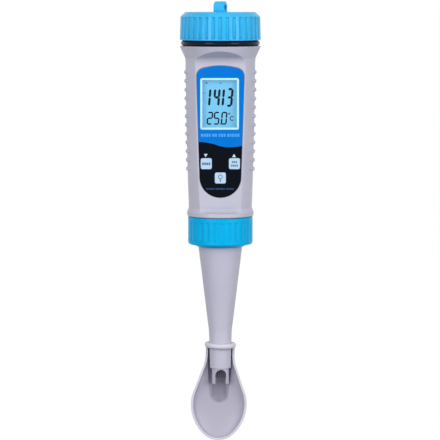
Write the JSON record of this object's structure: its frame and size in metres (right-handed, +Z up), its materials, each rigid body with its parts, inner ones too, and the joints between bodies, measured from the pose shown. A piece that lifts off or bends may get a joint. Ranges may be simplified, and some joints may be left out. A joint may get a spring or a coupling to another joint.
{
  "type": "water quality tester",
  "caption": "Pen-shaped water quality tester with display and keys, screwed battery cap, collar-held probe and clip-on sampling spoon.",
  "frame": {"origin": "middle of the lanyard eye's bore on top of the battery cap", "axes": "+Z up along the pen, from the probe to the battery cap; the display faces -Y; +X to the right"},
  "size_m": [0.04, 0.04, 0.219],
  "materials": {
    "cap_blue": "moulded, satin gloss",
    "housing_grey": "moulded ABS, fine satin",
    "probe_grey": "moulded ABS, satin",
    "spoon_grey": "moulded, satin",
    "seal_rubber": "smooth black rubber",
    "label_print": "printed polyester",
    "window_clear": "clear lens with pale printed border",
    "key_pale": "pale keys",
    "inner_black": "black mouldings",
    "lcd_pane": "display glass",
    "light_white": "white light guide",
    "strip_rubber": "conductive rubber",
    "board_green": "circuit board",
    "steel": "steel",
    "chassis_white": "moulded chassis",
    "socket_dark": "moulded connector",
    "contact_brass": "plated contacts",
    "ribbon_amber": "flexible lead",
    "electrode_dark": "graphite rods"
  },
  "bodies": {
    "meter_body": {"housing": "housing_grey", "front_label": "label_print", "display_window": "window_clear", "key_switches": "inner_black", "lcd_frame": "inner_black", "lcd_glass": "lcd_pane", "backlight": "light_white", "contact_strips": "strip_rubber", "main_board": "board_green", "board_screws": "steel", "radio_module": "inner_black", "controller_chip": "inner_black", "inner_chassis": "chassis_white", "battery_holder": "inner_black", "plus_contact": "steel", "leaf_spring": "steel", "battery_cell_1": "steel", "battery_cell_2": "steel", "battery_cell_3": "steel", "battery_cell_4": "steel", "probe_socket": "socket_dark", "socket_contacts": "contact_brass", "sensor_ribbon": "ribbon_amber"},
    "cap_seal_carrier": {"cap_seal": "seal_rubber"},
    "cap": {"battery_cap": "cap_blue"},
    "probe": {"probe_body": "probe_grey", "probe_plug": "socket_dark", "probe_pins": "contact_brass", "probe_seal": "seal_rubber", "sensor_guard": "probe_grey", "electrode_holder": "inner_black", "electrode_1": "electrode_dark", "electrode_2": "electrode_dark", "temperature_probe": "electrode_dark", "electrode_3": "electrode_dark", "electrode_4": "electrode_dark"},
    "collar": {"collar_nut": "cap_blue"},
    "scoop": {"spoon": "spoon_grey"},
    "mode_button": {"mode_key": "key_pale", "mode_plunger": "inner_black"},
    "hold_button": {"hold_key": "key_pale", "hold_plunger": "inner_black"},
    "power_button": {"power_key": "key_pale", "power_plunger": "inner_black"}
  },
  "joints": [
    {"name": "cap_lift", "type": "slide", "parent": "meter_body", "child": "cap_seal_carrier", "axis": [0, 0, 1], "range_m": [0, 0.0075]},
    {"name": "cap_turn", "type": "hinge", "parent": "cap_seal_carrier", "child": "cap", "pos_m": [0, 0, -0.01], "axis": [0, 0, 1], "range_deg": [0, 1080]},
    {"name": "probe_drop", "type": "slide", "parent": "meter_body", "child": "probe", "axis": [0, 0, -1], "range_m": [0, 0.009]},
    {"name": "collar_turn", "type": "hinge", "parent": "probe", "child": "collar", "pos_m": [0, 0, -0.11], "axis": [0, 0, -1], "range_deg": [0, 1080]},
    {"name": "spoon_pull", "type": "slide", "parent": "probe", "child": "scoop", "axis": [0, 0, -1], "range_m": [0, 0.03]},
    {"name": "mode_press", "type": "slide", "parent": "meter_body", "child": "mode_button", "axis": [0, 1, 0], "range_m": [0, 0.0004], "stiffness_N_per_m": 600, "springref_m": -0.001},
    {"name": "hold_press", "type": "slide", "parent": "meter_body", "child": "hold_button", "axis": [0, 1, 0], "range_m": [0, 0.0004], "stiffness_N_per_m": 600, "springref_m": -0.001},
    {"name": "power_press", "type": "slide", "parent": "meter_body", "child": "power_button", "axis": [0, 1, 0], "range_m": [0, 0.0004], "stiffness_N_per_m": 600, "springref_m": -0.001}
  ],
  "couplings": [
    {"joint": "cap_lift", "follows": "cap_turn", "m_per_rad": 0.00039789},
    {"joint": "probe_drop", "follows": "collar_turn", "m_per_rad": 0.00047746}
  ]
}
